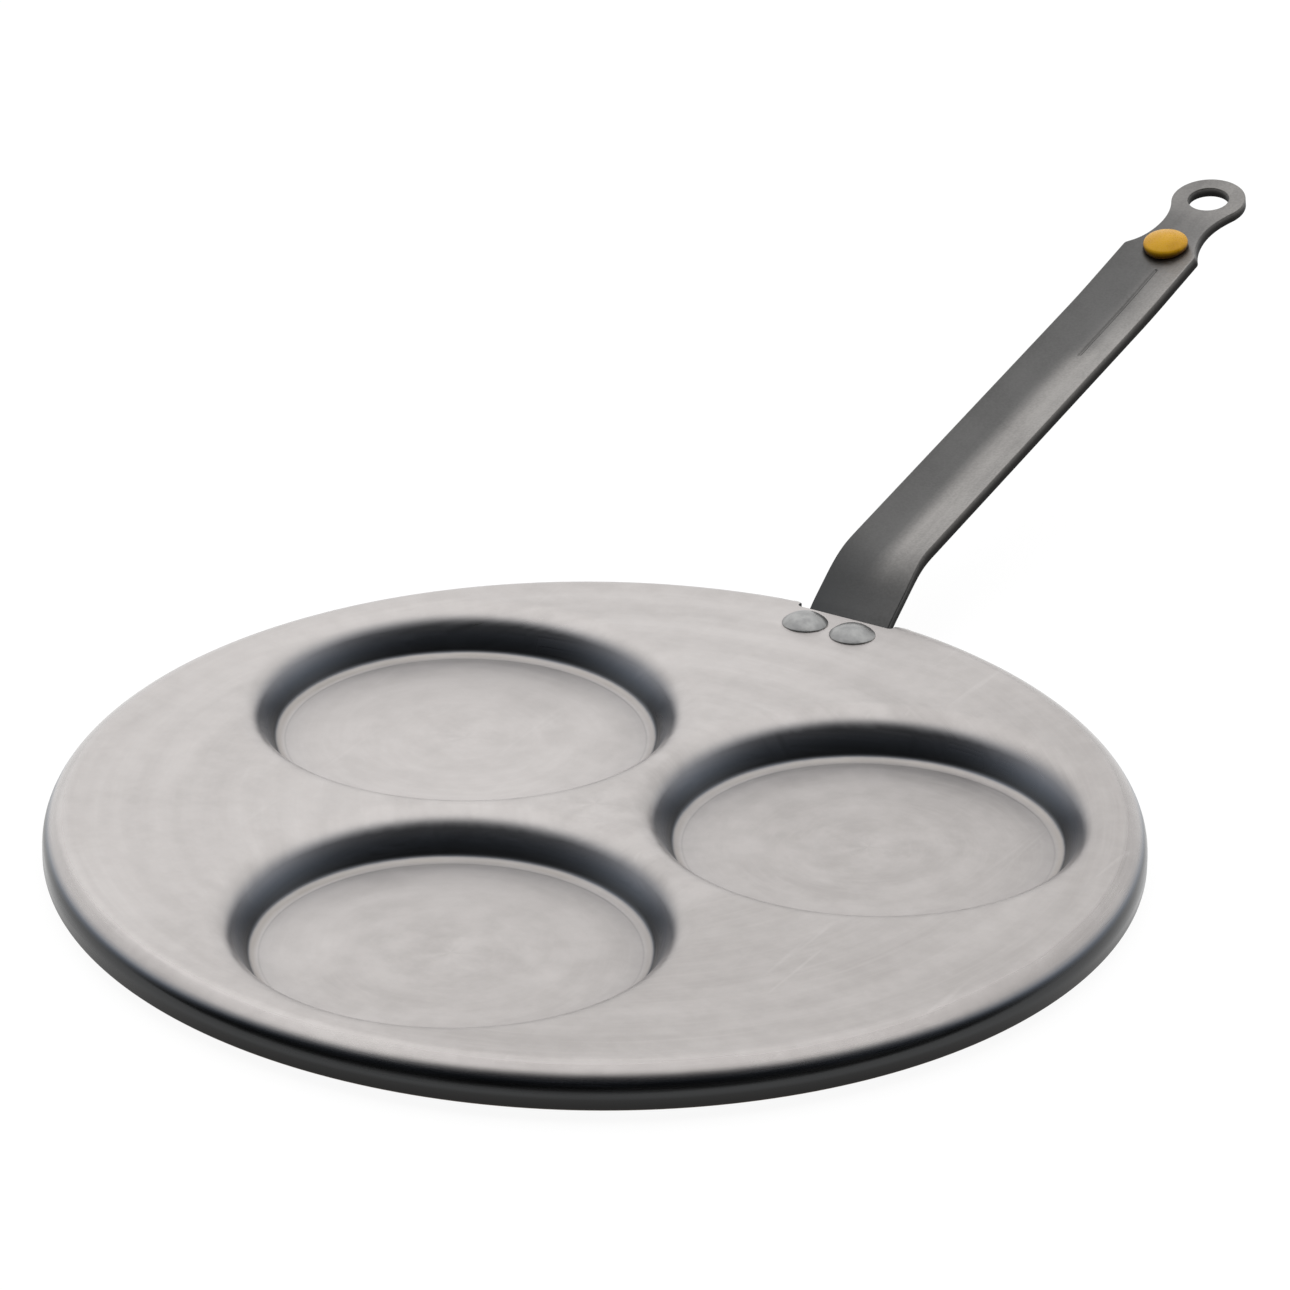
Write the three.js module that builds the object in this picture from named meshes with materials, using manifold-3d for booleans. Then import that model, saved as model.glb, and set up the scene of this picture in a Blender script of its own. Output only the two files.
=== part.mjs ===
// Blini pan: a stamped round steel plate with three cups and a riveted strip handle.
// Units are millimetres and +Z is up. The handle points along +Y.
// The origin is the centre of the plate's flat top face.
import * as THREE from 'three';
import { mergeVertices } from 'three/addons/utils/BufferGeometryUtils.js';
import Module from 'manifold-3d';

const wasm = await Module();
wasm.setup();

const degrees = THREE.MathUtils.degToRad;

// Plate: the cups, how close they stand and the rim set its size.
const SHEET = 2.5; // thickness of the stamped sheet
const CUP_COUNT = 3;
const CUP_MOUTH = 59.5; // radius where the flat top starts to bend into a cup
const CUP_DEPTH = 10.9; // top face down to a cup's floor
const WALL_DRAFT = degrees(32); // how far a cup's wall leans from upright
const LIP_INSIDE = 6.5; // inside radius of the bend at a cup's mouth
const FLOOR_INSIDE = 3.6; // inside radius of the bend at a cup's floor
const LEAST_WALL = 0.5; // straight wall that is always left between the two bends
const LIP_OVERLAP = 3.1; // how far the lips of two neighbouring cups run into each other
const RIM_LAND = 1.1; // flat between a cup and the rim's bend
const RIM_INSIDE = 5; // inside radius of the turned-down rim
const RIM_SKIRT = 2.7; // straight edge under the rim's bend

// Notch in the rim, where the handle comes out.
const NOTCH_SETBACK = 1.3; // how far the notch reaches into the flat
const NOTCH_SIDE_GAP = 2.1; // beside the handle, on each side
const NOTCH_STRAIGHT = 2; // straight start of its sides
const NOTCH_FLARE = degrees(45); // how far the sides then lean outward
const NOTCH_MARGIN = 5; // how far the cutting block stands clear of the sheet

// Rivets
const RIVET_HEAD = 12; // diameter of the head on the plate
const RIVET_HEAD_EDGE = 0.4; // upright edge of the head
const RIVET_HEAD_RISE = 2.8; // whole height of the head
const RIVET_TAIL = 9.5; // diameter of the formed tail under the handle
const RIVET_TAIL_RISE = 2;
const RIVET_SHANK = 5; // diameter
const RIVET_GAP = 1.9; // between the two heads
const RIVET_TO_NOTCH = 2.5; // from a head to the notch
const RIVET_EDGE_WALL = 1.85; // handle left beside a rivet hole
const HOLE_CLEARANCE = 0.3; // round each rivet and round the button's stem

// Handle strip. Lengths run along its top face.
const STRIP = 3; // thickness
const FOOT_TAIL = 10.5; // foot behind the rivets' line
const FOOT_CORNER = 5; // corner radius of the foot
const ROOT_GAP = 0.1; // from the notch to the start of the first bend
const ROOT_BEND = 2.2; // inside radius of the first bend
const ROOT_ANGLE = degrees(41.2);
const ROOT_LENGTH = 2.5;
const RISE_BEND = 20; // radius that eases the root into the rise
const RISE_ANGLE = degrees(35.5);
const RISE_LENGTH = 7.84;
const LEG_BEND = 22.6; // inside radius of the bend into the leg
const LEG_ANGLE = degrees(10.23);
const LEG_LENGTH = 161.2; // from that bend to the shoulder
const LEG_WIDTH = 21.6;
const GUTTER_DEPTH = 1.8; // hollow of the leg's top face at its edges
const GUTTER_RUN_IN = 15; // from the start of the bend into the leg

// Handle head: the leg lifts a little, then come its shoulder, a waist and a loop with the hanging hole.
const HEAD_LIFT = degrees(2.23);
const HEAD_BEND = 400; // inside radius of that lift
const LIFT_TO_SHOULDER = 28.6; // from the middle of that lift
const SHOULDER = 3.96; // step from the leg's edge in to the waist
const WAIST_TO_LOOP = 16.1; // between the waist and the hanging hole
const LOOP_INSET = 0.38; // how far the loop stays inside the leg's edge
const HANGING_HOLE = 11.4; // diameter

// Button: a domed plug pushed into the strip.
const BUTTON_HEAD = 12.4; // diameter
const BUTTON_EDGE = 2.2; // upright edge of the head
const BUTTON_RISE = 3.9; // whole height of the head
const BUTTON_STEM = 7; // diameter
const BUTTON_STEM_SHORT = 0.2; // how far the stem ends above the strip's underside
const BUTTON_TO_LOOP = 26.9; // between the button and the hanging hole
const BUTTON_SEAT_GAP = 0.3; // between the head and the strip

// Facets
const RIM_SEGMENTS = 72;
const CUP_SEGMENTS = 36;
const HOLE_SEGMENTS = 24;
const RIVET_SEGMENTS = 20;
const BUTTON_SEGMENTS = 24;
const BEND_STEPS = 3;
const RIM_STEPS = 4;
const DOME_STEPS = 4;
const STRIP_ACROSS = 6;
const BEND_STEP_ANGLE = degrees(10);
const FADE_STEPS = 4;
const WAIST_STEPS = 7;
const LOOP_STEPS = 12;
const LOOP_TIP_ANGLE = degrees(9); // half of the loop's last facet
const LEAST_STEP = 0.05; // closest that two outlines of the strip are drawn
const CUT_REACH = 4; // how far a drill stands out of what it drills

// Sizes that follow from those above.
const lipTop = LIP_INSIDE + SHEET;
const wallTurn = Math.PI / 2 - WALL_DRAFT;
const bendRoom = (CUP_DEPTH - LEAST_WALL) / (1 - Math.cos(wallTurn));
const floorBend = Math.min(FLOOR_INSIDE, bendRoom - lipTop);
const rimOutside = RIM_INSIDE + SHEET;
const cupCircle = (CUP_MOUTH - LIP_OVERLAP / 2) / Math.sin(Math.PI / CUP_COUNT);
const plateRadius = cupCircle + CUP_MOUTH + RIM_LAND + rimOutside;
const rimDrop = rimOutside + RIM_SKIRT;
const notchEdge = plateRadius - rimOutside - NOTCH_SETBACK;
const rivetPitch = RIVET_HEAD + RIVET_GAP;
const rivetLine = notchEdge - RIVET_TO_NOTCH - RIVET_HEAD / 2;
const rivetHole = RIVET_SHANK / 2 + HOLE_CLEARANCE;
const footHalf = rivetPitch / 2 + rivetHole + RIVET_EDGE_WALL;
const legHalf = LEG_WIDTH / 2;
const waistHalf = legHalf - SHOULDER;
const loopRadius = legHalf - LOOP_INSET;

// Materials
function metal(color, roughness) {
  return new THREE.MeshStandardMaterial({ color, roughness, metalness: 1 });
}
const plateSteel = metal(0xc4c1bd, 0.38);
const stripSteel = metal(0x7d7b79, 0.42);
const rivetSteel = metal(0xb4b4b2, 0.35);
const amber = new THREE.MeshStandardMaterial({ color: 0xcd9628, roughness: 0.3, metalness: 0 });

// Solids: joining and cutting closed meshes.
function solidOf(geometry) {
  const bare = geometry.clone();
  bare.deleteAttribute('normal');
  bare.deleteAttribute('uv');
  const merged = mergeVertices(bare, 1e-5);
  const index = merged.index.array;
  const triangles = [];
  for (let i = 0; i < index.length; i += 3) {
    const [a, b, c] = [index[i], index[i + 1], index[i + 2]];
    if (a !== b && b !== c && c !== a) triangles.push(a, b, c);
  }
  return new wasm.Manifold(new wasm.Mesh({
    numProp: 3,
    vertProperties: Float32Array.from(merged.attributes.position.array),
    triVerts: Uint32Array.from(triangles),
  }));
}

function geometryOf(solid) {
  const { vertProperties, triVerts } = solid.getMesh();
  const geometry = new THREE.BufferGeometry();
  geometry.setAttribute('position', new THREE.BufferAttribute(vertProperties, 3));
  geometry.setIndex(new THREE.BufferAttribute(triVerts, 1));
  geometry.computeVertexNormals();
  return geometry;
}

function part(name, solid, material) {
  const mesh = new THREE.Mesh(geometryOf(solid), material);
  mesh.name = name;
  return mesh;
}

// A profile of [radius, height] points turned about the Z axis.
function turned(profile, segments) {
  const points = profile.map(([radius, height]) => new THREE.Vector2(radius, height));
  return new THREE.LatheGeometry(points, segments).rotateX(Math.PI / 2);
}

// Points of an arc in a turned profile, from one angle to another.
function arc(centreRadius, centreHeight, radius, from, to, steps) {
  const points = [];
  for (let i = 0; i <= steps; i += 1) {
    const angle = THREE.MathUtils.lerp(from, to, i / steps);
    points.push([centreRadius + radius * Math.cos(angle), centreHeight + radius * Math.sin(angle)]);
  }
  return points;
}

// A domed cap's profile from the edge of its base up, or down, to its top on the axis.
function dome(radius, base, rise) {
  const sphere = (radius * radius + rise * rise) / (2 * Math.abs(rise));
  const spread = Math.asin(Math.min(1, radius / sphere));
  const points = [];
  for (let i = 0; i < DOME_STEPS; i += 1) {
    const angle = spread * (1 - i / DOME_STEPS);
    const height = Math.abs(rise) - sphere * (1 - Math.cos(angle));
    points.push([sphere * Math.sin(angle), base + Math.sign(rise) * height]);
  }
  points.push([0, base + rise]);
  return points;
}

// A straight round hole along Z, from one height up to another.
function drill(radius, bottom, top) {
  const length = top - bottom + 2 * CUT_REACH;
  const geometry = new THREE.CylinderGeometry(radius, radius, length, HOLE_SEGMENTS);
  return geometry.rotateX(Math.PI / 2).translate(0, 0, (top + bottom) / 2);
}

// Plate

// A cup's face from its mouth to its floor. Sunk by the sheet, it is the cup's outside.
function cupFace(sunk) {
  const lip = lipTop - sunk;
  const floor = floorBend + sunk;
  const wallDrop = CUP_DEPTH - (lipTop + floorBend) * (1 - Math.cos(wallTurn));
  const wallRun = wallDrop / Math.tan(wallTurn);
  const floorCentre = CUP_MOUTH - (lipTop + floorBend) * Math.sin(wallTurn) - wallRun;
  const up = Math.PI / 2;
  return [
    ...arc(CUP_MOUTH, -lipTop, lip, up, up + wallTurn, BEND_STEPS),
    ...arc(floorCentre, floorBend - CUP_DEPTH, floor, wallTurn - up, -up, BEND_STEPS),
    [0, -CUP_DEPTH - sunk],
  ];
}

function plateBlank() {
  const bendCentre = plateRadius - rimOutside;
  const quarter = Math.PI / 2;
  const profile = [
    [0, -SHEET],
    ...arc(bendCentre, -rimOutside, RIM_INSIDE, quarter, 0, BEND_STEPS),
    [plateRadius - SHEET, -rimDrop],
    [plateRadius, -rimDrop],
    ...arc(bendCentre, -rimOutside, rimOutside, 0, quarter, RIM_STEPS),
    [0, 0],
  ];
  return solidOf(turned(profile, RIM_SEGMENTS));
}

function cupCentre(number) {
  const angle = degrees(90) + ((number + 0.5) * 2 * Math.PI) / CUP_COUNT;
  return [cupCircle * Math.cos(angle), cupCircle * Math.sin(angle)];
}

// What the notch takes out of the rim: straight sides that flare toward the outside.
function notchCutter() {
  const half = footHalf + NOTCH_SIDE_GAP;
  const flareStart = notchEdge + NOTCH_STRAIGHT;
  const outside = plateRadius + NOTCH_MARGIN;
  const outsideHalf = half + (outside - flareStart) * Math.tan(NOTCH_FLARE);
  const side = [[half, notchEdge], [half, flareStart], [outsideHalf, outside]];
  const mirrored = side.map(([x, y]) => [-x, y]).reverse();
  const outline = new THREE.Shape([...side, ...mirrored].map(([x, y]) => new THREE.Vector2(x, y)));
  const depth = rimDrop + 2 * NOTCH_MARGIN;
  const cutter = new THREE.ExtrudeGeometry(outline, { depth, bevelEnabled: false });
  return cutter.translate(0, 0, -rimDrop - NOTCH_MARGIN);
}

function griddlePlate() {
  let plate = plateBlank();
  const outside = [[0, -SHEET / 2], [CUP_MOUTH, -SHEET / 2], ...cupFace(SHEET)];
  const inside = [[0, CUT_REACH], [CUP_MOUTH, CUT_REACH], ...cupFace(0)];
  for (let i = 0; i < CUP_COUNT; i += 1) {
    const [x, y] = cupCentre(i);
    plate = plate.add(solidOf(turned(outside.toReversed(), CUP_SEGMENTS).translate(x, y, 0)));
  }
  for (let i = 0; i < CUP_COUNT; i += 1) {
    const [x, y] = cupCentre(i);
    plate = plate.subtract(solidOf(turned(inside.toReversed(), CUP_SEGMENTS).translate(x, y, 0)));
  }
  plate = plate.subtract(solidOf(notchCutter()));
  for (const side of [-1, 1]) {
    const hole = drill(rivetHole, -SHEET, 0).translate((side * rivetPitch) / 2, rivetLine, 0);
    plate = plate.subtract(solidOf(hole));
  }
  return plate;
}

// Handle strip

// The waist is an arc that meets the loop smoothly and the leg's edge at the shoulder.
const waistArc = (WAIST_TO_LOOP ** 2 + waistHalf ** 2 - loopRadius ** 2) / (2 * (loopRadius - waistHalf));
const shoulderReach = Math.sqrt(waistArc ** 2 - (waistArc - SHOULDER) ** 2);

// The path of the strip's top face in the Y-Z plane: straight runs and bends, in order.
const footStart = rivetLine - FOOT_TAIL;
const footLength = notchEdge + ROOT_GAP - footStart;
const straight = (length) => ({ length, turn: 0 });
const bend = (radius, from, to) => ({ length: radius * Math.abs(to - from), turn: to - from });
const legBend = bend(LEG_BEND + STRIP, RISE_ANGLE, LEG_ANGLE);
const headBend = bend(HEAD_BEND, 0, HEAD_LIFT);
const rise = [
  straight(footLength),
  bend(ROOT_BEND, 0, ROOT_ANGLE),
  straight(ROOT_LENGTH),
  bend(RISE_BEND, ROOT_ANGLE, RISE_ANGLE),
  straight(RISE_LENGTH),
  legBend,
];
const path = [
  ...rise,
  straight(LEG_LENGTH - LIFT_TO_SHOULDER - headBend.length / 2),
  headBend,
];

// Where the path is after a given run, and which way it points. Past its last bend it runs straight on.
function placeAt(run) {
  const place = { y: footStart, z: -SHEET, angle: 0 };
  let left = run;
  for (const { length, turn } of path) {
    const step = Math.min(left, length);
    if (step <= 0) continue;
    const swept = (turn * step) / length;
    const chord = turn === 0 ? step : ((2 * length) / turn) * Math.sin(swept / 2);
    place.y += chord * Math.cos(place.angle + swept / 2);
    place.z += chord * Math.sin(place.angle + swept / 2);
    place.angle += swept;
    left -= step;
  }
  place.y += left * Math.cos(place.angle);
  place.z += left * Math.sin(place.angle);
  return place;
}

// Runs of the strip's features.
const legStart = rise.reduce((sum, { length }) => sum + length, 0);
const shoulderRun = legStart + LEG_LENGTH;
const waistRun = shoulderRun + shoulderReach;
const loopRun = waistRun + WAIST_TO_LOOP;
const loopJoin = loopRun - (loopRadius * WAIST_TO_LOOP) / (waistArc + loopRadius);
const buttonRun = loopRun - BUTTON_TO_LOOP;

// The leg's hollow starts with the bend into it and fades between the button and the hanging hole.
const gutterStart = legStart - legBend.length;
const gutterFull = gutterStart + GUTTER_RUN_IN;
const fadeStart = buttonRun + BUTTON_HEAD / 2;
const fadeEnd = loopRun - HANGING_HOLE / 2;

function gutterAt(run) {
  const deepens = THREE.MathUtils.smoothstep(run, gutterStart, gutterFull);
  const fades = THREE.MathUtils.smoothstep(run, fadeStart, fadeEnd);
  return GUTTER_DEPTH * deepens * (1 - fades);
}

function halfWidthAt(run) {
  if (run < FOOT_CORNER) return footHalf - FOOT_CORNER + Math.sqrt(run * (2 * FOOT_CORNER - run));
  if (run > loopJoin) return Math.sqrt(loopRadius ** 2 - (run - loopRun) ** 2);
  if (run > shoulderRun) return waistHalf + waistArc - Math.sqrt(waistArc ** 2 - (run - waistRun) ** 2);
  const narrows = THREE.MathUtils.smoothstep(run, gutterStart, gutterFull);
  return THREE.MathUtils.lerp(footHalf, legHalf, narrows);
}

function between(from, to, steps) {
  return Array.from({ length: steps }, (_, i) => THREE.MathUtils.lerp(from, to, (i + 1) / steps));
}

// Runs at which the strip's outline is drawn, from the foot's end to the loop's tip.
function stripRuns() {
  const footTurn = between(0, Math.PI / 2, BEND_STEPS);
  const runs = [0, ...footTurn.map((angle) => FOOT_CORNER * (1 - Math.cos(angle)))];
  let run = 0;
  for (const { length, turn } of path) {
    const steps = Math.max(1, Math.ceil(Math.abs(turn) / BEND_STEP_ANGLE));
    runs.push(...between(run, run + length, steps));
    run += length;
  }
  runs.push(...between(legStart, gutterFull, BEND_STEPS));
  runs.push(fadeStart, ...between(fadeStart, fadeEnd, FADE_STEPS));
  runs.push(shoulderRun, ...between(shoulderRun, loopJoin, WAIST_STEPS));
  const joinAngle = Math.acos((loopJoin - loopRun) / loopRadius);
  const loopTurn = between(joinAngle, LOOP_TIP_ANGLE, LOOP_STEPS);
  runs.push(...loopTurn.map((angle) => loopRun + loopRadius * Math.cos(angle)));
  runs.sort((a, b) => a - b);
  return runs.filter((value, i) => i === 0 || value - runs[i - 1] > LEAST_STEP);
}

// One outline of the strip: its top face from left to right, then its underside back.
function stripRing(run, raised) {
  const { y, z, angle } = placeAt(run);
  const half = halfWidthAt(run);
  const gutter = gutterAt(run);
  const point = (across, height) => [across, y - height * Math.sin(angle), z + height * Math.cos(angle)];
  const top = [];
  const under = [];
  for (let i = 0; i <= STRIP_ACROSS; i += 1) {
    const across = half * ((2 * i) / STRIP_ACROSS - 1);
    const lift = gutter * (across / legHalf) ** 2;
    const lean = Math.atan((2 * gutter * across) / legHalf ** 2);
    top.push(point(across, lift + raised));
    under.unshift(point(across + STRIP * Math.sin(lean), lift - STRIP * Math.cos(lean)));
  }
  return [...top, ...under];
}

// The strip without its holes. Its top face can be raised to cut what sits on it.
function stripLoft(raised = 0) {
  const rings = stripRuns().map((run) => stripRing(run, raised));
  const size = 2 * (STRIP_ACROSS + 1);
  const triangles = [];
  for (let r = 0; r + 1 < rings.length; r += 1) {
    for (let i = 0; i < size; i += 1) {
      const a = r * size + i;
      const b = r * size + ((i + 1) % size);
      triangles.push(a, b, b + size, a, b + size, a + size);
    }
  }
  const last = (rings.length - 1) * size;
  for (let i = 0; i < STRIP_ACROSS; i += 1) {
    const [a, b, c, d] = [i, i + 1, size - 2 - i, size - 1 - i];
    triangles.push(a, c, b, a, d, c);
    triangles.push(last + a, last + b, last + c, last + a, last + c, last + d);
  }
  const geometry = new THREE.BufferGeometry();
  geometry.setAttribute('position', new THREE.Float32BufferAttribute(rings.flat(2), 3));
  geometry.setIndex(triangles);
  return geometry;
}

// Moves a geometry that was made flat onto the strip's top face at a given run.
function ontoStrip(geometry, run) {
  const { y, z, angle } = placeAt(run);
  return geometry.rotateX(angle).translate(0, y, z);
}

function handleStrip() {
  let strip = solidOf(stripLoft());
  for (const side of [-1, 1]) {
    const hole = drill(rivetHole, -SHEET - STRIP, -SHEET);
    strip = strip.subtract(solidOf(hole.translate((side * rivetPitch) / 2, rivetLine, 0)));
  }
  strip = strip.subtract(solidOf(ontoStrip(drill(HANGING_HOLE / 2, -STRIP, 0), loopRun)));
  const stemHole = BUTTON_STEM / 2 + HOLE_CLEARANCE;
  return strip.subtract(solidOf(ontoStrip(drill(stemHole, -STRIP, 0), buttonRun)));
}

// Rivets: a domed head on the plate, a shank through both sheets and a formed tail below.
function rivet() {
  const stack = SHEET + STRIP;
  const tail = dome(RIVET_TAIL / 2, -stack, -RIVET_TAIL_RISE);
  const profile = [
    ...tail.toReversed(),
    [RIVET_SHANK / 2, -stack],
    [RIVET_SHANK / 2, 0],
    [RIVET_HEAD / 2, 0],
    ...dome(RIVET_HEAD / 2, RIVET_HEAD_EDGE, RIVET_HEAD_RISE - RIVET_HEAD_EDGE),
  ];
  return solidOf(turned(profile, RIVET_SEGMENTS));
}

// Button: its stem fills the strip's hole and its head sits in the hollow of the top face.
const seat = placeAt(buttonRun);

function handleButton() {
  const headProfile = [
    [0, 0],
    [BUTTON_HEAD / 2, 0],
    ...dome(BUTTON_HEAD / 2, BUTTON_EDGE, BUTTON_RISE - BUTTON_EDGE),
  ];
  const stemBottom = BUTTON_STEM_SHORT - STRIP;
  const stemProfile = [
    [0, stemBottom],
    [BUTTON_STEM / 2, stemBottom],
    [BUTTON_STEM / 2, BUTTON_EDGE],
    [0, BUTTON_EDGE],
  ];
  const hollow = stripLoft(BUTTON_SEAT_GAP).translate(0, -seat.y, -seat.z).rotateX(-seat.angle);
  const head = solidOf(turned(headProfile, BUTTON_SEGMENTS)).subtract(solidOf(hollow));
  return head.add(solidOf(turned(stemProfile, BUTTON_SEGMENTS)));
}

// Assembly
const pan = new THREE.Group();
pan.add(part('griddle_plate', griddlePlate(), plateSteel));
pan.add(part('handle_strip', handleStrip(), stripSteel));

for (const [name, side] of [['rivet_left', -1], ['rivet_right', 1]]) {
  const piece = part(name, rivet(), rivetSteel);
  piece.position.set((side * rivetPitch) / 2, rivetLine, 0);
  pan.add(piece);
}

const seatFrame = new THREE.Group();
seatFrame.position.set(0, seat.y, seat.z);
seatFrame.rotation.x = seat.angle;
seatFrame.add(part('handle_button', handleButton(), amber));
pan.add(seatFrame);

export default pan;
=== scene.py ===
"""Looks of a blini pan: a stamped steel plate, a riveted strip handle and an amber plug, in metres."""

import math

import bpy
import numpy as np
from mathutils import Matrix, Vector
from mathutils.geometry import delaunay_2d_cdt


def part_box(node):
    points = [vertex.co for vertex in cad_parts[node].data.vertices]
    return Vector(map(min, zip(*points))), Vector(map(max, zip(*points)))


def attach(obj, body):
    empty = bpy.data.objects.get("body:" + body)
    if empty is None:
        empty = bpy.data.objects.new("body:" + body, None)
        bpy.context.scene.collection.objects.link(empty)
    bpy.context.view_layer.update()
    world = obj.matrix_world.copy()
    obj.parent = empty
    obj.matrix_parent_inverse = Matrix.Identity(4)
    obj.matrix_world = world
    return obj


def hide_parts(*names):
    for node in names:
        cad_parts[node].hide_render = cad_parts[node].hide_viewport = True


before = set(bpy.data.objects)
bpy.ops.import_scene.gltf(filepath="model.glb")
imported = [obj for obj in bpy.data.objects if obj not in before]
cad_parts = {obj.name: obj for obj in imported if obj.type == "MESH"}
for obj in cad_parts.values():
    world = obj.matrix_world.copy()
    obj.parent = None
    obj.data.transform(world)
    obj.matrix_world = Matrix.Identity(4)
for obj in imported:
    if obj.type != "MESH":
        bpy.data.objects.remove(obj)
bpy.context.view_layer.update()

MM = 0.001

# Plate: the sheet, its cups and its rim
SHEET = 2.5 * MM
CUP_COUNT = 3
CUP_MOUTH = 59.5 * MM  # radius where the flat starts to bend into a cup
CUP_DEPTH = 10.9 * MM
WALL_DRAFT = math.radians(32)
LIP_BEND = 9 * MM  # radius of the top face over the lip
FLOOR_BEND = 3.6 * MM
LIP_OVERLAP = 3.1 * MM  # how far the lips of two cups run into each other
CREST_EASE = 3 * MM  # rounding of the crest where they meet
CREST_CLEAR = 0.4 * MM  # room for the crest's own points
RIM_LAND = 1.1 * MM  # flat between a cup and the rim's bend
RIM_BEND = 7.5 * MM
RIM_SKIRT = 2.7 * MM
SHEET_EDGE = 0.35 * MM  # rounding of the sheet's edges

# Notch in the rim
NOTCH_HALF = 13.7 * MM
NOTCH_SETBACK = 1.3 * MM
NOTCH_CORNER = 1.0 * MM
NOTCH_STRAIGHT = 2.0 * MM  # straight start of its sides
NOTCH_FLARE = math.radians(45)
NOTCH_END = 2.0 * MM
NOTCH_REACH = 9.0 * MM  # how far its sides spread on the blank

# Rivets
RIVET_PITCH = 13.9 * MM
RIVET_TO_NOTCH = 8.5 * MM  # from the rivets' line to the notch
RIVET_HEAD = 6.0 * MM  # radius
RIVET_HEAD_RISE = 2.8 * MM
RIVET_LIP = 0.35 * MM  # rounding of its edges
RIVET_LIP_PARTS = 3  # its centre is one of these parts of its radius above the sheet
RIVET_SHANK = 2.5 * MM
RIVET_HOLE = 2.8 * MM
RIVET_TAIL = 4.75 * MM
RIVET_TAIL_RISE = 2.0 * MM

# Handle strip: runs are measured along its top face
STRIP = 3.0 * MM
STRIP_EDGE = 0.35 * MM
FOOT_TAIL = 10.5 * MM
FOOT_HALF = 11.6 * MM
FOOT_CORNER = 5 * MM
ROOT_GAP = 0.1 * MM
ROOT_BEND = 2.2 * MM
ROOT_ANGLE = math.radians(41.2)
ROOT_LENGTH = 2.5 * MM
RISE_BEND = 20 * MM
RISE_ANGLE = math.radians(35.5)
RISE_LENGTH = 7.84 * MM
LEG_BEND = 25.6 * MM  # radius of the top face
LEG_ANGLE = math.radians(10.23)
LEG_LENGTH = 161.2 * MM
LEG_HALF = 10.8 * MM
GUTTER_DEPTH = 1.8 * MM
GUTTER_RUN_IN = 15 * MM
HEAD_LIFT = math.radians(2.23)
HEAD_BEND = 400 * MM
LIFT_TO_SHOULDER = 28.6 * MM  # from the middle of that lift
SHOULDER = 3.96 * MM
SHOULDER_EASE = 0.9 * MM
WAIST_TO_LOOP = 16.1 * MM
LOOP_RADIUS = 10.42 * MM
HANGING_HOLE = 5.7 * MM
BUTTON_TO_LOOP = 26.9 * MM

# Stamped line along the leg
GROOVE_ACROSS = 2.4 * MM
GROOVE_HALF = 0.75 * MM
GROOVE_DEPTH = 0.5 * MM
GROOVE_LENGTH = 48 * MM
GROOVE_RUN_IN = 0.6 * MM  # slope at its ends
GROOVE_TO_BUTTON = 10.5 * MM

# Button
BUTTON_HEAD = 6.2 * MM
BUTTON_EDGE = 2.2 * MM
BUTTON_RISE = 3.9 * MM
BUTTON_LIP = 1.0 * MM
BUTTON_FOOT_LIP = 0.3 * MM
BUTTON_STEM = 3.5 * MM
BUTTON_STEM_HOLE = 3.8 * MM
BUTTON_STEM_LENGTH = 2.8 * MM
BUTTON_GAP = 0.06 * MM  # under its head

# Where the plate's steel is painted dark, as painted shade and painted dark reflections, and where it shines,
# by the tilt of its bends
RIM_DARK = (math.radians(36), math.radians(73))
# more painted shade on the skirt, in place of a dark reflection
SKIRT_DARK = 0.2
SKIRT_BLEND = (-0.8 * MM, 0.6 * MM)  # about the end of the rim's bend
# painted dark reflections on the lips, and more painted shade on the walls
LIP_DARK = (math.radians(28), math.radians(60))
LIP_SHARE = 0.5
WALL_MORE = 0.38
WALL_BLEND = 0.8 * MM  # before the end of the lip's bend
SMOOTH_BEND = (math.radians(4), math.radians(22))
SMOOTH_LIP = (math.radians(12), math.radians(36))
LIP_SMOOTHNESS = 0.6  # as a share of the rim's
FILLET_DARK = (math.radians(28), math.radians(50))
FILLET_BURNISH = (math.radians(3), math.radians(25))
FLOOR_LINE = 0.35 * MM  # half the width of the line round a floor
FLOOR_DARK = 0.14  # painted shade at the floor's edge, in place of the dark wall reflected in it
FLOOR_FADE = 11 * MM
# painted shade on the underside
UNDERSIDE_DARK = 0.5
LIT_SIDE = (-0.96, 0.17, 0.0)  # toward the side of the plate that is painted lighter, as if lit more from there
LIT_SIDE_REACH = (-0.1, 0.06)  # where it starts and is full

# Painted light and shade on the strip's steel, from 0 for shaded to 1 for lit
RISE_LIGHT = 0.06
RISE_RIGHT = 0.06  # more at the right edge
RISE_BLEND = (4 * MM, 6 * MM)  # before and after the start of the gutter
LEG_LIGHT = 0.165
LEG_RIGHT = 0.67  # more on the right half
LEG_SIDES = (-0.23, 0.4)  # where that starts and is full, in half widths
LEG_SIDES_END = (0.13, 0.52)  # how far both move near the shoulder
LEG_WIDENS = (60 * MM, 46 * MM)  # before the shoulder
HEAD_BLEND = 10 * MM  # before the shoulder
LOOP_LIGHT = 0.24
LOOP_RIGHT = 0.2
LOOP_TIP = 0.28
TOP_EDGE_SHADE = 0.6  # share of the painted shade on the upper half of the edge
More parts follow.
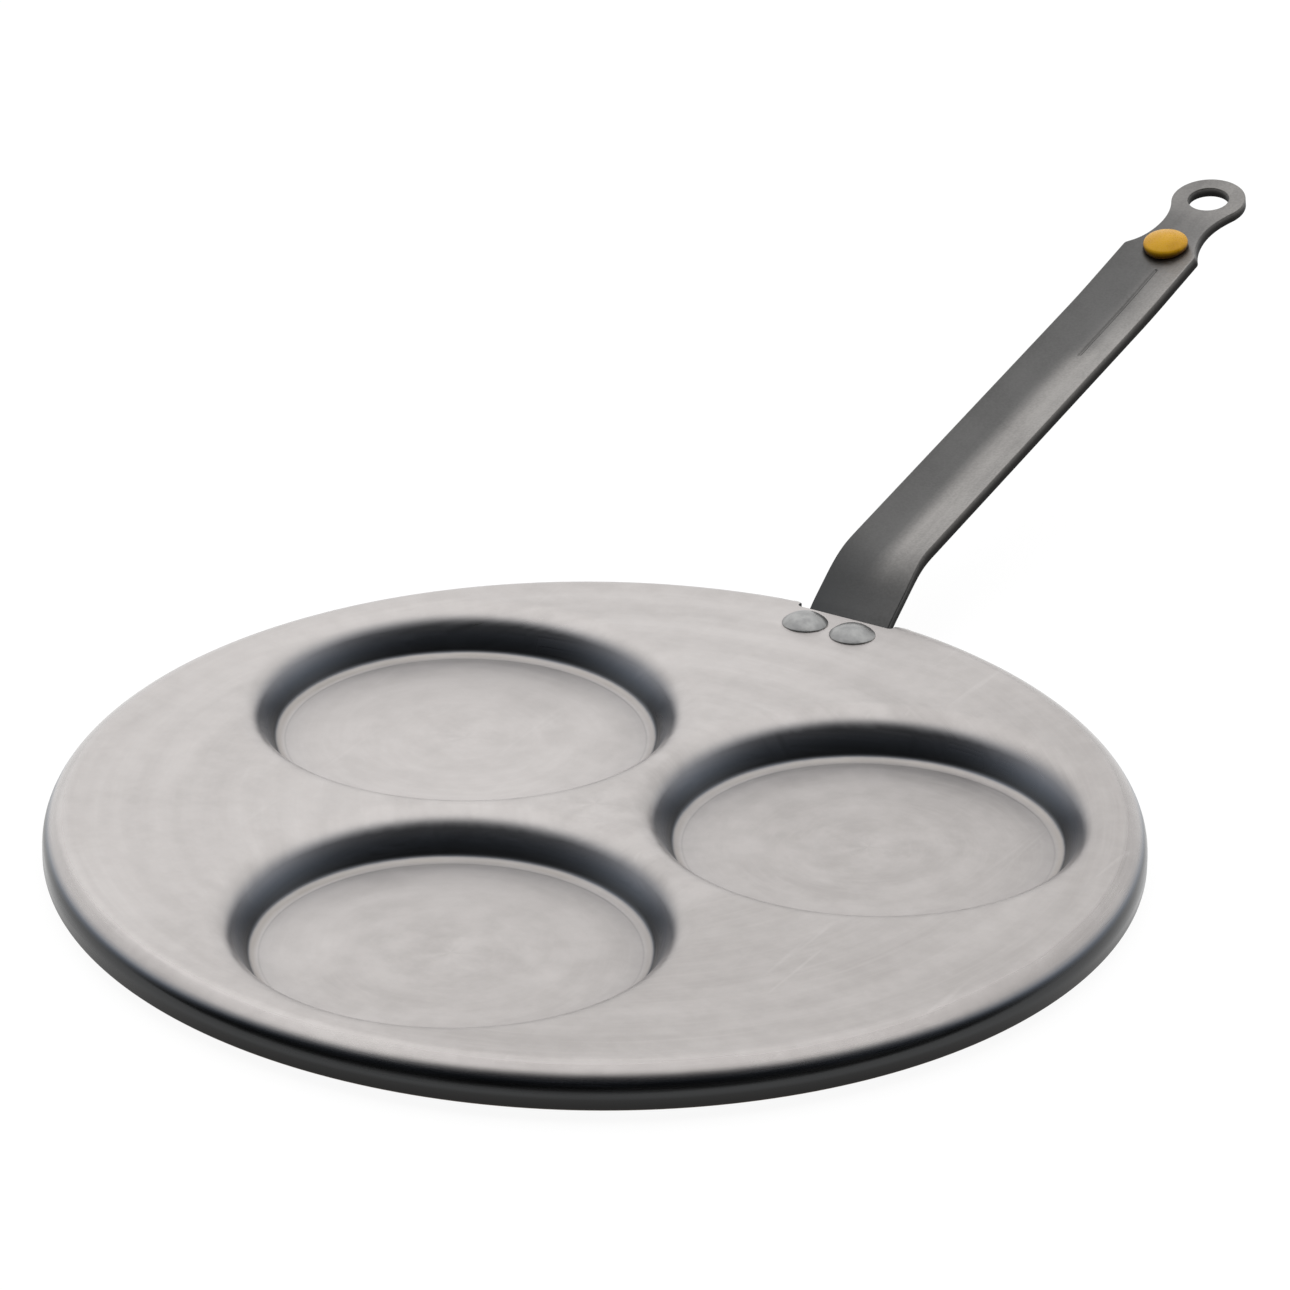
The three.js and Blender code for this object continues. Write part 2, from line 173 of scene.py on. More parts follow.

# Colours
PLATE_DULL = (0.365, 0.343, 0.333, 1)
PLATE_CLEAN = (0.545, 0.519, 0.508, 1)
PLATE_WORN = (0.553, 0.526, 0.515, 1)
PLATE_SCUFF = (0.59, 0.566, 0.555, 1)
PLATE_BLUISH_SHADE = (0.112, 0.13, 0.162, 1)
PLATE_DEEP_SHADE = (0.048, 0.049, 0.05, 1)
PLATE_SKIRT_SHADE = (0.026, 0.0255, 0.025, 1)
PLATE_RING = (0.43, 0.402, 0.38, 1)
PLATE_LINE = (0.06, 0.06, 0.065, 1)
PLATE_CUT = (0.36, 0.29, 0.23, 1)
STRIP_SHADED = (0.0475, 0.049, 0.0505, 1)
STRIP_LIT = (0.325, 0.311, 0.298, 1)
STRIP_STREAK = (0.06, 0.059, 0.058, 1)
STRIP_EDGE_SHADE = (0.014, 0.0135, 0.013, 1)
RIVET_DULL = (0.25, 0.25, 0.25, 1)
RIVET_CLEAN = (0.355, 0.355, 0.35, 1)
AMBER_DEEP = (0.7, 0.35, 0.006, 1)
AMBER_FRESH = (0.82, 0.44, 0.012, 1)
AMBER_FOOT_SHADE = (0.17, 0.065, 0.003, 1)
GROUND_GREY = (0.88, 0.88, 0.88, 1)
WHITE = (1, 1, 1, 1)
NOISE_RANGE = (0.3, 0.7)  # where most of a noise lies

# Mesh steps
RIM_SEGMENTS = 240
RIM_MARGIN = 0.8 * MM  # a row on the flat beside the rim's bend
CUP_SEGMENTS = 132
CUP_FLOOR_ROWS = (0.85, 0.6, 0.35, 0.12)  # in shares of the floor's radius
LINE_STEP = 0.35 * MM  # rows beside a cup's mouth and its floor's line
CREST_STEPS = 36
NOTCH_STEPS = 24
NOTCH_CORNER_STEPS = 4
NOTCH_EDGE_STEPS = 8
NOTCH_MARGIN = 1.2 * MM  # inner points keep this clear of the notch
NOTCH_SPREAD = 1.06  # and this share of its half width
HOLE_SEGMENTS = 24
STEM_HOLE_SEGMENTS = 32
HANGING_HOLE_SEGMENTS = 72
FOOT_STEPS = 6
FOOT_EDGE_STEPS = 8
SIDE_STEP = 1.6 * MM
SIDE_ENDS = (1 * MM, 0.5 * MM)  # from the foot's corner and before the shoulder
SHOULDER_STEPS = 6
WAIST_STEPS = 26
LOOP_STEPS = 36
STRIP_FIRST = 1.5 * MM
STRIP_STEP = 2.2 * MM
STRIP_COLUMNS = 12
STRIP_MARGIN = 0.5 * MM
GROOVE_STEPS = 24
GROOVE_STARTS = (0, 0.2 * MM, 0.4 * MM, GROOVE_RUN_IN)
GROOVE_ROWS = (-1.4, -1, -0.66, -0.33, 0, 0.33, 0.66, 1, 1.4)  # in half widths of the line
GROOVE_CLEAR = 1.7  # half widths kept clear of other points
GROOVE_MARGIN = 1.5 * MM
RIVET_SEGMENTS = 72
BUTTON_SEGMENTS = 84
CAP_EDGE_STEPS = 8
CAP_DOME_STEPS = 14
CAP_SLOPES = (0.01, 1.4)  # range of a dome's slope at its edge
CAP_TRIES = 40
SHARP_ANGLE = math.radians(50)
TURN_STEP = math.radians(8)
EDGE_STEPS = 3
PROBE = 0.002 * MM  # step for surface slopes
WHOLE_HULL = 0  # the triangulation keeps everything inside its hull
JOIN_WITHIN = 1e-6  # points closer than this, in millimetres, are one

# Camera: its place, the way back from its view, its level side and its roll
CAMERA_PLACE = (0.73996, -1.25857, 0.73513)
CAMERA_BACK = (0.45183, -0.78255, 0.42838)
CAMERA_RIGHT = (0.8660254, 0.5, 0.0)
CAMERA_ROLL = 0.013759
CAMERA_LENS = 186.57
CAMERA_SENSOR = 36.0

# Light and ground
DIM_WAY = (0.5, -0.866, -0.725)  # toward the studio's dim end
DIM_REACH = (-0.52, 0.08)  # where it starts and is full
DIM_LEVEL = 0.035
OVERHEAD_REACH = (0.45, 0.95)
OVERHEAD_LEVEL = 1.4
LAMP_PLACE = (-1.3, 1.7, 1.5)
LAMP_TARGET = (0, 0.05, 0)
LAMP_SIZE = 2.5
LAMP_POWER = 5
GROUND_GAP = 0.05 * MM  # under the cups
GROUND_RADII = (0.5, 2.0, 9.0)
GROUND_SEGMENTS = 64
GROUND_GLOW = 1.08
GROUND_SEEN_WHITE = 0.85  # share of the glow where the ground is seen

# Sizes that follow from those above
wall_turn = math.pi / 2 - WALL_DRAFT
wall_drop = CUP_DEPTH - (LIP_BEND + FLOOR_BEND) * (1 - math.cos(wall_turn))
wall_run = wall_drop / math.sin(wall_turn)
cup_spacing = 2 * CUP_MOUTH - LIP_OVERLAP
cup_circle = cup_spacing / 2 / math.sin(math.pi / CUP_COUNT)
rim_start = cup_circle + CUP_MOUTH + RIM_LAND
notch_edge = rim_start - NOTCH_SETBACK
rivet_line = notch_edge - RIVET_TO_NOTCH
waist_half = LEG_HALF - SHOULDER
ground_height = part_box("griddle_plate")[0].z - GROUND_GAP


def smooth(value, low, high):
    """0 below low, 1 above high and an even curve between them."""
    t = min(1.0, max(0.0, (value - low) / (high - low)))
    return t * t * (3 - 2 * t)


def between(start, end, steps):
    """Even steps from start to end, both included."""
    return [start + (end - start) * i / steps for i in range(steps + 1)]


class Path:
    """The top face of a bent sheet from the side: straight runs and bends, each a (length, turn)."""

    def __init__(self, x, z, steps):
        self.pieces = []
        run = 0.0
        angle = 0.0
        for length, turn in steps:
            self.pieces.append((run, x, z, angle, length, turn))
            x, z = self.ahead(x, z, angle, length, length, turn)
            angle += turn
            run += length
        self.end = (run, x, z, angle, math.inf, 0.0)
        self.length = run

    @staticmethod
    def ahead(x, z, angle, step, length, turn):
        """Place after a step along a run or bend that starts at x, z with an angle."""
        swept = turn * step / length
        chord = 2 * length / turn * math.sin(swept / 2) if turn else step
        return x + chord * math.cos(angle + swept / 2), z + chord * math.sin(angle + swept / 2)

    def at(self, run):
        """Place and direction after a run: x, z and the angle."""
        piece = self.end
        for candidate in self.pieces:
            if run < candidate[0] + candidate[4]:
                piece = candidate
                break
        start, x, z, angle, length, turn = piece
        step = run - start
        x, z = self.ahead(x, z, angle, step, length, turn)
        return x, z, angle + turn * step / length

    def marks(self):
        """Runs that divide the bends into small turns."""
        runs = [0.0]
        for start, _, _, _, length, turn in self.pieces:
            steps = max(1, math.ceil(abs(turn) / TURN_STEP))
            runs += between(start, start + length, steps)[1:]
        return runs


# Bent sheets


def inside(points, loop):
    """Which points lie inside a closed loop."""
    hit = np.zeros(len(points), bool)
    x, y = points[:, 0], points[:, 1]
    for (ax, ay), (bx, by) in zip(loop, np.roll(loop, -1, axis=0)):
        crosses = (ay > y) != (by > y)
        if not crosses.any():
            continue
        reach = ax + (y[crosses] - ay) / (by - ay) * (bx - ax)
        hit[crosses] ^= x[crosses] < reach
    return hit


def outward(loop):
    """Unit directions away from the sheet: outlines run counter-clockwise and holes clockwise."""
    ahead = np.roll(loop, -1, axis=0) - np.roll(loop, 1, axis=0)
    sideways = np.stack([ahead[:, 1], -ahead[:, 0]], axis=1)
    return sideways / np.linalg.norm(sideways, axis=1, keepdims=True)


def fill(loops, inner):
    """Points and triangles that fill the blank between its loops."""
    room = inside(inner, loops[0])
    for loop in loops[1:]:
        room &= ~inside(inner, loop)
    points = np.concatenate([*loops, inner[room]])
    edges = []
    first = 0
    for loop in loops:
        count = len(loop)
        edges += [(first + i, first + (i + 1) % count) for i in range(count)]
        first += count
    flat = [Vector(p / MM) for p in points]
    made = delaunay_2d_cdt(flat, edges, [], WHOLE_HULL, JOIN_WITHIN)
    faces = np.array(made[2])
    given = np.array([group[0] for group in made[3]])
    faces = given[faces]
    middles = points[faces].mean(axis=1)
    keep = inside(middles, loops[0])
    for loop in loops[1:]:
        keep &= ~inside(middles, loop)
    faces = faces[keep]
    a, b, c = (points[faces[:, i]] for i in range(3))
    turned = (b[:, 0] - a[:, 0]) * (c[:, 1] - a[:, 1]) < (b[:, 1] - a[:, 1]) * (c[:, 0] - a[:, 0])
    faces[turned] = faces[turned][:, ::-1]
    return points, faces


def slopes(place, point, depth):
    """Directions of the sheet at a point of the blank: along both of its axes, and its normal."""
    u, v = point
    along_u = place(u + PROBE, v, depth) - place(u - PROBE, v, depth)
    along_v = place(u, v + PROBE, depth) - place(u, v - PROBE, depth)
    return along_u.normalized(), along_v.normalized(), along_u.cross(along_v).normalized()


def bent_sheet(name, thickness, edge, place, loops, inner, paint):
    """A closed mesh of a sheet with rounded edges: place bends the blank, paint gives points their values."""
    ways = [outward(loop) for loop in loops]
    inset = [loop - way * edge for loop, way in zip(loops, ways)]
    points, triangles = fill(inset, inner)
    verts, normals, values = [], [], []

    def add(point, depth, tilt, way, side):
        along_u, along_v, normal = slopes(place, point, depth)
        out = (along_u * way[0] + along_v * way[1]).normalized()
        verts.append(place(*point, depth))
        normals.append((normal * (side * math.cos(tilt)) + out * math.sin(tilt)).normalized())
        values.append(paint(point, side, math.sin(tilt)))

    for depth, side in ((0.0, 1), (thickness, -1)):
        for point in points:
            add(point, depth, 0.0, (0.0, 0.0), side)
    count = len(points)
    faces = [tuple(t) for t in triangles] + [tuple(t[::-1] + count) for t in triangles]

    first = 0
    for loop, way in zip(loops, ways):
        size = len(loop)
        rows = [range(first, first + size)]
        turns = between(0, math.pi / 2, EDGE_STEPS)[1:]
        for tilt, side in [(t, 1) for t in turns] + [(t, -1) for t in turns[::-1]]:
            sunk = edge * (1 - math.cos(tilt))
            rows.append(range(len(verts), len(verts) + size))
            for point, direction in zip(loop, way):
                at = point - direction * edge * (1 - math.sin(tilt))
                add(at, sunk if side > 0 else thickness - sunk, tilt, direction, side)
        rows.append(range(count + first, count + first + size))
        for upper, lower in zip(rows, rows[1:]):
            for i in range(size):
                k = (i + 1) % size
                faces.append((upper[i], lower[i], lower[k], upper[k]))
        first += size
    return shown(name, verts, faces, normals, values)


def shown(name, verts, faces, normals=None, values=()):
    """An object of a smooth mesh, with its named values on each point."""
    mesh = bpy.data.meshes.new(name)
    mesh.from_pydata([tuple(v) for v in verts], [], [tuple(int(i) for i in f) for f in faces])
    mesh.shade_smooth()
    if normals:
        mesh.normals_split_custom_set_from_vertices([tuple(n) for n in normals])
    for key in values[0] if values else ():
        column = np.array([value[key] for value in values], np.float32)
        kind, field = ("FLOAT", "value") if column.ndim == 1 else ("FLOAT_VECTOR", "vector")
        mesh.attributes.new(key, kind, "POINT").data.foreach_set(field, column.ravel())
    piece = bpy.data.objects.new(name, mesh)
    bpy.context.collection.objects.link(piece)
    return piece


def ring(centre, radius, segments, clockwise=False):
    """Points of a circle on the blank."""
    angles = np.linspace(0, 2 * math.pi, segments, endpoint=False)
    if clockwise:
        angles = -angles
    return np.stack([centre[0] + radius * np.cos(angles), centre[1] + radius * np.sin(angles)], axis=1)


# Plate

cup_path = Path(0, 0, [
    (LIP_BEND * wall_turn, -wall_turn),
    (wall_run, 0),
    (FLOOR_BEND * wall_turn, wall_turn),
])
rim_path = Path(0, 0, [(RIM_BEND * math.pi / 2, -math.pi / 2), (RIM_SKIRT, 0)])
floor_blank = CUP_MOUTH - cup_path.length
floor_radius = CUP_MOUTH - cup_path.end[1]
rim_blank = rim_start + rim_path.length
lip_end = cup_path.pieces[1][0]
fillet_start = cup_path.pieces[2][0]
cup_angles = [math.radians(90 + (i + 0.5) * 360 / CUP_COUNT) for i in range(CUP_COUNT)]
cup_centres = [(cup_circle * math.cos(a), cup_circle * math.sin(a)) for a in cup_angles]


def nearest_cup(u, v):
    """Centre of the nearest cup, and a point's runs on the blank into it and into the next cup."""
    runs = [(CUP_MOUTH - math.hypot(u - x, v - y), (x, y)) for x, y in cup_centres]
    (run, centre), (other, _) = sorted(runs, reverse=True)[:2]
    return centre, run, other


def place_plate(u, v, depth):
    """A point of the bent plate. Cups and rim turn down, and two lips meet in a rounded crest."""
    centre, run, other = nearest_cup(u, v)
    distance = CUP_MOUTH - run
    apart = smooth(run - other, 0, CREST_EASE)
    run += CREST_EASE / 4 * max(0.0, 1 - (run - other) / CREST_EASE) ** 2
    if run > 0:
        if run < cup_path.length:
            x, z, angle = cup_path.at(run)
            scale = 1 + apart * (run - x - depth * math.sin(angle)) / distance
            height = z - depth * math.cos(angle)
        else:
            scale = floor_radius / floor_blank
            height = -CUP_DEPTH - depth
        return Vector((centre[0] + (u - centre[0]) * scale, centre[1] + (v - centre[1]) * scale, height))
    reach = math.hypot(u, v)
    if reach <= rim_start:
        return Vector((u, v, -depth))
    x, z, angle = rim_path.at(reach - rim_start)
    scale = (rim_start + x + depth * math.sin(angle)) / reach
    return Vector((u * scale, v * scale, z - depth * math.cos(angle)))


def paint_plate(point, side, edge):
    """How dark and smooth the steel is, the shine round a floor, and the pole of the polishing arcs."""
    u, v = point
    # painted shade on the underside by default
    values = {"dark": UNDERSIDE_DARK, "bend": 0.0, "burnish": 0.0, "line": 0.0}
    values.update(edge=edge, swirl=(u, v, 0.0))
    # painted shadow on the cut faces of the notch's sides
    if NOTCH_HALF - NOTCH_CORNER < abs(u) < NOTCH_HALF + NOTCH_REACH and v > notch_edge and edge > 0:
        values["dark"] = 1.0
        values["edge"] = 0.0
        return values
    if side < 0:
        return values
    centre, run, _ = nearest_cup(u, v)
    if run < 0:
        run = math.hypot(u, v) - rim_start
        if run > 0:
            # painted dark reflections on the rim's bend, and more painted shade on its skirt
            bend_end = rim_path.length - RIM_SKIRT
            skirt = smooth(run, bend_end + SKIRT_BLEND[0], bend_end + SKIRT_BLEND[1])
            tilt = -rim_path.at(run)[2]
            values["dark"] = smooth(tilt, *RIM_DARK) + SKIRT_DARK * skirt
            values["bend"] = smooth(tilt, *SMOOTH_BEND)
        else:
            values["dark"] = 0.0
        return values
    tilt = -cup_path.at(run)[2]
    values["bend"] = LIP_SMOOTHNESS * smooth(tilt, *SMOOTH_LIP)
    if run < fillet_start:
        # painted dark reflections on the lip, and more painted shade down the wall
        lip = LIP_SHARE * smooth(tilt, *LIP_DARK)
        deep = smooth(run, lip_end - WALL_BLEND, fillet_start)
        values["dark"] = lip + WALL_MORE * deep
        return values
    # painted shade on the steep part of the fillet, and painted shade on the floor beside it
    steep = smooth(tilt, *FILLET_DARK)
    fades = smooth(run, cup_path.length, cup_path.length + FLOOR_FADE)
    values["dark"] = (LIP_SHARE + WALL_MORE) * steep + FLOOR_DARK * (1 - steep) * (1 - fades)
    values["burnish"] = (1 - steep) * smooth(tilt, *FILLET_BURNISH)
    values["line"] = max(0.0, 1 - abs(run - cup_path.length) / FLOOR_LINE)
    values["swirl"] = (u - centre[0], v - centre[1], 1.0)
    return values


def true_reach(reach):
    """How far from the plate's centre a reach on the blank ends up."""
    return rim_start + rim_path.at(reach - rim_start)[0] if reach > rim_start else reach


def notch_half(reach):
    """Half of the notch's width: its sides start straight and then flare."""
    out = math.sqrt(true_reach(reach) ** 2 - NOTCH_HALF ** 2) - notch_edge - NOTCH_STRAIGHT
    return NOTCH_HALF + max(0.0, out) * math.tan(NOTCH_FLARE)


def notch_side(x, reach):
    """A point of the blank at a true distance across the notch and a reach from the plate's centre."""
    angle = math.asin(x / true_reach(reach))
    return reach * math.sin(angle), reach * math.cos(angle)


def plate_outline():
    """The rim's edge, counter-clockwise from the left of the notch, then the notch from right to left."""
    half = []
    for turn in between(math.pi / 2, 0, NOTCH_CORNER_STEPS):
        x = notch_half(rim_blank) + NOTCH_END * (1 - math.cos(turn))
        half.append(notch_side(x, rim_blank - NOTCH_END * (1 - math.sin(turn))))
    corner_reach = math.hypot(NOTCH_HALF, notch_edge + NOTCH_CORNER)
    for reach in between(rim_blank - NOTCH_END, corner_reach, NOTCH_STEPS)[1:]:
        half.append(notch_side(notch_half(reach), reach))
    for turn in between(0, math.pi / 2, NOTCH_CORNER_STEPS)[1:]:
        x = NOTCH_HALF - NOTCH_CORNER * (1 - math.cos(turn))
        half.append((x, notch_edge + NOTCH_CORNER * (1 - math.sin(turn))))
    half += [(x, notch_edge) for x in between(NOTCH_HALF - NOTCH_CORNER, 0, NOTCH_EDGE_STEPS)[1:]]
    mirrored = [(-x, y) for x, y in half[-2::-1]]
    gap = math.atan2(half[0][0], half[0][1])
    angles = np.linspace(math.pi / 2 + gap, math.pi * 5 / 2 - gap, RIM_SEGMENTS + 1)[1:-1]
    rim = [(rim_blank * math.cos(a), rim_blank * math.sin(a)) for a in angles]
    return np.array(rim + half + mirrored)


def owns(centre, point):
    """Whether a point of the blank is nearest to this cup and clear of the crest beside it."""
    nearest, run, other = nearest_cup(*point)
    return nearest == centre and run - other > CREST_CLEAR


def crest_line(angle):
    """Points along the crest where two lips meet, at an angle from the plate's centre."""
    middle = cup_circle * math.cos(math.pi / CUP_COUNT)
    half = math.sqrt(CUP_MOUTH ** 2 - (cup_spacing / 2) ** 2)
    reaches = between(middle - half, middle + half, CREST_STEPS)
    return np.array([(reach * math.cos(angle), reach * math.sin(angle)) for reach in reaches])


def rivet_holes(line):
    """Outlines of both rivet holes on a blank, with their centres on a line across it."""
    return [ring((side * RIVET_PITCH / 2, line), RIVET_HOLE, HOLE_SEGMENTS, True) for side in (-1, 1)]


def make_plate():
    inner = [ring((0, 0), rim_start + run, RIM_SEGMENTS) for run in [-RIM_MARGIN, *rim_path.marks()[:-1]]]
    runs = [-LINE_STEP, *cup_path.marks()]
    runs += [cup_path.length + LINE_STEP * step for step in (-1, 1, 2)]
    for centre in cup_centres:
        for run in runs:
            around = ring(centre, CUP_MOUTH - run, CUP_SEGMENTS)
            inner.append(np.array([point for point in around if owns(centre, point)]))
        for share in CUP_FLOOR_ROWS:
            inner.append(ring(centre, floor_blank * share, round(CUP_SEGMENTS * share)))
        inner.append(np.array([centre]))
    inner += [crest_line(angle + math.pi) for angle in cup_angles]
    inner = np.concatenate(inner)
    half = [notch_half(math.hypot(x, y)) if y > notch_edge else NOTCH_HALF for x, y in inner]
    beside = np.abs(inner[:, 0]) < NOTCH_SPREAD * np.array(half) + NOTCH_MARGIN
    inner = inner[~(beside & (inner[:, 1] > notch_edge - NOTCH_MARGIN))]
    loops = [plate_outline(), *rivet_holes(rivet_line)]
    return bent_sheet("plate", SHEET, SHEET_EDGE, place_plate, loops, inner, paint_plate)


# Handle strip

waist_arc = (WAIST_TO_LOOP ** 2 + waist_half ** 2 - LOOP_RADIUS ** 2) / (2 * (LOOP_RADIUS - waist_half))
shoulder_reach = math.sqrt(waist_arc ** 2 - (waist_arc - SHOULDER) ** 2)
foot_start = rivet_line - FOOT_TAIL
leg_bend = (LEG_BEND * (RISE_ANGLE - LEG_ANGLE), LEG_ANGLE - RISE_ANGLE)
head_bend = (HEAD_BEND * HEAD_LIFT, HEAD_LIFT)
strip_path = Path(foot_start, -SHEET, [
    (notch_edge + ROOT_GAP - foot_start, 0),
    (ROOT_BEND * ROOT_ANGLE, ROOT_ANGLE),
    (ROOT_LENGTH, 0),
    (RISE_BEND * (ROOT_ANGLE - RISE_ANGLE), RISE_ANGLE - ROOT_ANGLE),
    (RISE_LENGTH, 0),
    leg_bend,
    (LEG_LENGTH - LIFT_TO_SHOULDER - head_bend[0] / 2, 0),
    head_bend,
])
gutter_start = strip_path.pieces[5][0]
gutter_full = gutter_start + GUTTER_RUN_IN
shoulder_run = gutter_start + leg_bend[0] + LEG_LENGTH
waist_run = shoulder_run + shoulder_reach
loop_run = waist_run + WAIST_TO_LOOP
loop_join = loop_run - LOOP_RADIUS * WAIST_TO_LOOP / (waist_arc + LOOP_RADIUS)
button_run = loop_run - BUTTON_TO_LOOP
groove_end = button_run - GROOVE_TO_BUTTON


def gutter(run):
    """Depth of the leg's hollow, which starts with the bend and fades between the button and the loop."""
    fades = smooth(run, button_run + BUTTON_HEAD, loop_run - HANGING_HOLE)
    return GUTTER_DEPTH * smooth(run, gutter_start, gutter_full) * (1 - fades)


def half_width(run):
    """Half of the strip's width: a foot with round corners, the leg, the waist and the loop."""
    if run < FOOT_CORNER:
        return FOOT_HALF - FOOT_CORNER + math.sqrt(max(0.0, run * (2 * FOOT_CORNER - run)))
    if run > loop_join:
        return math.sqrt(max(0.0, LOOP_RADIUS ** 2 - (run - loop_run) ** 2))
    past = run - shoulder_run
    if abs(past) < SHOULDER_EASE:
        fall = shoulder_reach / (waist_arc - SHOULDER)
        return LEG_HALF - fall * (past + SHOULDER_EASE) ** 2 / (4 * SHOULDER_EASE)
    if past > 0:
        return waist_half + waist_arc - math.sqrt(waist_arc ** 2 - (run - waist_run) ** 2)
    return FOOT_HALF + (LEG_HALF - FOOT_HALF) * smooth(run, gutter_start, gutter_full)


def groove(across, run):
    """Depth of the stamped line."""
    ends = smooth(run, groove_end - GROOVE_LENGTH, groove_end - GROOVE_LENGTH + GROOVE_RUN_IN)
    ends *= 1 - smooth(run, groove_end - GROOVE_RUN_IN, groove_end)
    return GROOVE_DEPTH * ends * (1 - smooth(abs(across - GROOVE_ACROSS), 0, GROOVE_HALF))


def place_strip(across, run, depth):
    """A point of the bent strip, hollowed along its leg."""
    y, z, angle = strip_path.at(run)
    hollow = gutter(run)
    lean = math.atan(2 * hollow * across / LEG_HALF ** 2)
    height = hollow * (across / LEG_HALF) ** 2 - depth * math.cos(lean)
    if depth < STRIP_EDGE:
        height -= groove(across, run)
    x = across + depth * math.sin(lean)
    return Vector((x, y - height * math.sin(angle), z + height * math.cos(angle)))


def paint_strip(point, side, edge):
    """Painted light and shade on the steel: shaded on the rise, lit most on the leg's right half and even on
    the head, and painted shade on the edges.
    """
    across, run = point
    aside = across / LEG_HALF
    widens = smooth(run, shoulder_run - LEG_WIDENS[0], shoulder_run - LEG_WIDENS[1])
    starts, full = [side_at + more * widens for side_at, more in zip(LEG_SIDES, LEG_SIDES_END)]
    leg = LEG_LIGHT + LEG_RIGHT * smooth(aside, starts, full)
    loop = LOOP_LIGHT + LOOP_RIGHT * smooth(aside, -1, 1) + LOOP_TIP * smooth(run, waist_run, loop_run)
    head = smooth(run, shoulder_run - HEAD_BLEND, waist_run)
    rise = RISE_LIGHT + RISE_RIGHT * aside
    up = smooth(run, gutter_start - RISE_BLEND[0], gutter_full + RISE_BLEND[1])
    light = rise * (1 - up) + (leg * (1 - head) + loop * head) * up
    # painted shade on the strip's edges, less on their upper half
    edge_shade = edge * (TOP_EDGE_SHADE if side > 0 else 1.0)
    return {"edge": edge_shade, "light": light, "along": (across, run, 0.0)}


def strip_outline():
    """Up the right side, round the loop and down the left side."""
    runs = [FOOT_CORNER * (1 - math.cos(a)) for a in between(0, math.pi / 2, FOOT_STEPS)]
    side_end = shoulder_run - SHOULDER_EASE - SIDE_ENDS[1]
    runs += list(np.arange(FOOT_CORNER + SIDE_ENDS[0], side_end, SIDE_STEP))
    runs += between(shoulder_run - SHOULDER_EASE, shoulder_run + SHOULDER_EASE, SHOULDER_STEPS)
    runs += between(shoulder_run + SHOULDER_EASE, loop_join, WAIST_STEPS)[1:]
    right = [(half_width(run), run) for run in runs]
    join = math.acos((loop_join - loop_run) / LOOP_RADIUS)
    for turn in between(join, 0, LOOP_STEPS)[1:]:
        right.append((LOOP_RADIUS * math.sin(turn), loop_run + LOOP_RADIUS * math.cos(turn)))
    left = [(-x, y) for x, y in right[-2::-1]]
    base = [(x, 0.0) for x in between(-right[0][0], right[0][0], FOOT_EDGE_STEPS)[1:-1]]
    return np.array(right + left + base)


def make_strip():
    runs = [*np.arange(STRIP_FIRST, loop_run + LOOP_RADIUS, STRIP_STEP), *strip_path.marks()]
    inner = []
    for run in runs:
        reach = half_width(run) - STRIP_EDGE - STRIP_MARGIN
        if reach > 0:
            inner += [(across, run) for across in between(-reach, reach, STRIP_COLUMNS)]
    inner = np.array(inner)
    groove_start = groove_end - GROOVE_LENGTH
    beside = np.abs(inner[:, 0] - GROOVE_ACROSS) < GROOVE_CLEAR * GROOVE_HALF
    beside &= inner[:, 1] > groove_start - GROOVE_MARGIN
    beside &= inner[:, 1] < groove_end + GROOVE_MARGIN
    steps = [*GROOVE_STARTS, *between(GROOVE_MARGIN, GROOVE_LENGTH - GROOVE_MARGIN, GROOVE_STEPS)]
    steps += [GROOVE_LENGTH - step for step in GROOVE_STARTS[::-1]]
    rows = [GROOVE_ACROSS + GROOVE_HALF * share for share in GROOVE_ROWS]
    line = [(across, groove_start + step) for across in rows for step in steps]
    inner = np.concatenate([inner[~beside], line])
    stem_hole = ring((0, button_run), BUTTON_STEM_HOLE, STEM_HOLE_SEGMENTS, True)
    hanging_hole = ring((0, loop_run), HANGING_HOLE, HANGING_HOLE_SEGMENTS, True)
    loops = [strip_outline(), *rivet_holes(FOOT_TAIL), stem_hole, hanging_hole]
    return bent_sheet("strip", STRIP, STRIP_EDGE, place_strip, loops, inner, paint_strip)


# Rivets and button


def turned(name, profile, segments, place):
    """A closed mesh of a profile of (radius, height) points, turned about its axis and put by place."""
    verts, faces, rows, values = [], [], [], []
    angles = np.linspace(0, 2 * math.pi, segments, endpoint=False)
    for radius, height in profile:
        around = angles if radius else angles[:1]
        rows.append([len(verts) + i % len(around) for i in range(segments)])
        verts += [place(radius * math.cos(a), radius * math.sin(a), height) for a in around]
        values += [{"height": height / MM}] * len(around)
    for low, high in zip(rows, rows[1:]):
        for i in range(segments):
            k = (i + 1) % segments
            corners = [low[i], low[k], high[k], high[i]]
            faces.append(tuple(dict.fromkeys(corners)))
    piece = shown(name, verts, faces, values=values)
    piece.data.set_sharp_from_angle(angle=SHARP_ANGLE)
    return piece


def rounded_cap(radius, rise, lip, middle, start):
    """A low cap's profile: round its edge, whose middle lies at a height, then over a dome to its top."""
    low, high = CAP_SLOPES
    for _ in range(CAP_TRIES):
        slope = (low + high) / 2
        top = middle + lip * math.cos(slope) + (radius - lip + lip * math.sin(slope)) * math.tan(slope / 2)
        if top < rise:
            low = slope
        else:
            high = slope
    points = []
    for turn in between(start, math.pi / 2 - slope, CAP_EDGE_STEPS):
        points.append((radius - lip + lip * math.cos(turn), middle + lip * math.sin(turn)))
    sphere = points[-1][0] / math.sin(slope)
    for turn in between(slope, 0, CAP_DOME_STEPS)[1:-1]:
        points.append((sphere * math.sin(turn), rise - sphere * (1 - math.cos(turn))))
    points.append((0, rise))
    return points


